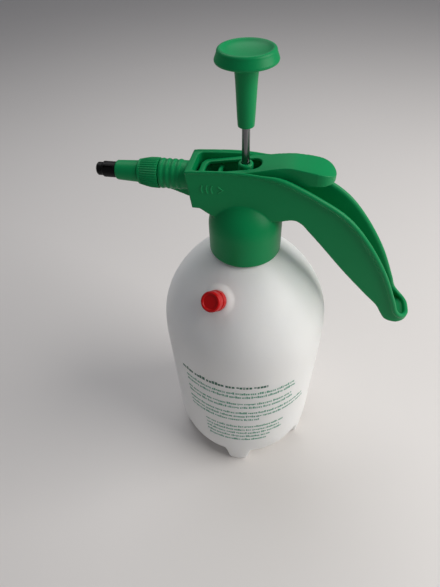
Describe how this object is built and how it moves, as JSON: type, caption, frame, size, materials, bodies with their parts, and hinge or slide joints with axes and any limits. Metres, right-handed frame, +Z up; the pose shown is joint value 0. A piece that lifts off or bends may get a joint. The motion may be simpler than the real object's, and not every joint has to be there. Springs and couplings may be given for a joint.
{
  "type": "pressure sprayer",
  "caption": "Hand pump pressure sprayer: a tall white bottle with short feet, a green pump head with a curved handle, a thumb lever, a ribbed nozzle and a red relief valve.",
  "frame": {"origin": "centre of the bounding box's base, on the surface that the feet stand on; the bottle's own axis stands 11.45 mm towards -X", "axes": "+Z up, -X towards the nozzle, +X towards the handle, -Y the side with the relief valve"},
  "size_m": [0.2136, 0.1262, 0.3457],
  "materials": {
    "white_plastic": "milky translucent blow-moulded polyethylene",
    "green_plastic": "satin injection-moulded green plastic",
    "red_plastic": "satin red plastic",
    "black_plastic": "black plastic",
    "steel": "polished steel",
    "rubber": "black rubber",
    "clear_plastic": "natural translucent plastic",
    "grey_plastic": "grey engineering plastic"
  },
  "bodies": {
    "bottle_body": {"bottle": "white_plastic", "relief_body": "red_plastic", "relief_retainer": "steel", "relief_spring": "steel"},
    "neck_seal": {"neck_gasket": "rubber"},
    "head": {"head_housing": "green_plastic", "valve_body": "grey_plastic", "dip_tube": "clear_plastic", "strainer": "black_plastic", "pump_cylinder": "clear_plastic", "cylinder_cap": "green_plastic", "rod_seal": "rubber", "check_valve": "rubber", "nozzle_tube": "green_plastic", "nozzle_seal": "rubber", "swirl_core": "white_plastic", "valve_spring": "steel"},
    "pump_piston": {"piston": "grey_plastic", "piston_seal": "rubber"},
    "plunger": {"pump_rod": "steel", "pump_knob": "green_plastic"},
    "lever": {"thumb_lever": "green_plastic"},
    "valve": {"valve_stem": "steel", "valve_seal": "rubber"},
    "nut": {"nozzle_nut": "green_plastic"},
    "tip": {"nozzle_tip": "black_plastic"},
    "relief_pull_knob": {"relief_cap": "red_plastic", "relief_stem": "steel", "relief_seal": "rubber"}
  },
  "joints": [
    {"name": "head_lift", "type": "slide", "parent": "bottle_body", "child": "neck_seal", "axis": [0, 0, 1], "range_m": [0, 0.235]},
    {"name": "head_turn", "type": "hinge", "parent": "neck_seal", "child": "head", "pos_m": [-0.01205, 0, 0.232], "axis": [0, 0, 1], "range_deg": [0, 360]},
    {"name": "pump_stroke", "type": "slide", "parent": "head", "child": "pump_piston", "axis": [0, 0, 1], "range_m": [-0.0218, 0.026]},
    {"name": "knob_turn", "type": "hinge", "parent": "pump_piston", "child": "plunger", "pos_m": [-0.01205, 0, 0.23], "axis": [0, 0, 1], "continuous": true},
    {"name": "lever_press", "type": "hinge", "parent": "head", "child": "lever", "pos_m": [-0.03805, 0, 0.273], "axis": [0, 1, 0], "range_deg": [0, 7], "stiffness_Nm_per_rad": 2, "springref_deg": -5.73},
    {"name": "valve_open", "type": "slide", "parent": "head", "child": "valve", "axis": [0, 0, 1], "range_m": [-0.0013, 0], "deforming": ["valve_spring"]},
    {"name": "nut_turn", "type": "hinge", "parent": "head", "child": "nut", "pos_m": [-0.07305, 0, 0.273], "axis": [-1, 0, 0], "continuous": true},
    {"name": "tip_turn", "type": "hinge", "parent": "head", "child": "tip", "pos_m": [-0.10005, 0, 0.273], "axis": [-1, 0, 0], "range_deg": [-180, 180]},
    {"name": "relief_lift", "type": "slide", "parent": "bottle_body", "child": "relief_pull_knob", "axis": [-0.2402, -0.7391, 0.6293], "range_m": [0, 0.0025], "stiffness_N_per_m": 800, "springref_m": -0.003, "deforming": ["relief_spring"]}
  ],
  "couplings": [
    {"joint": "valve_open", "follows": "lever_press", "m_per_rad": -0.01}
  ]
}
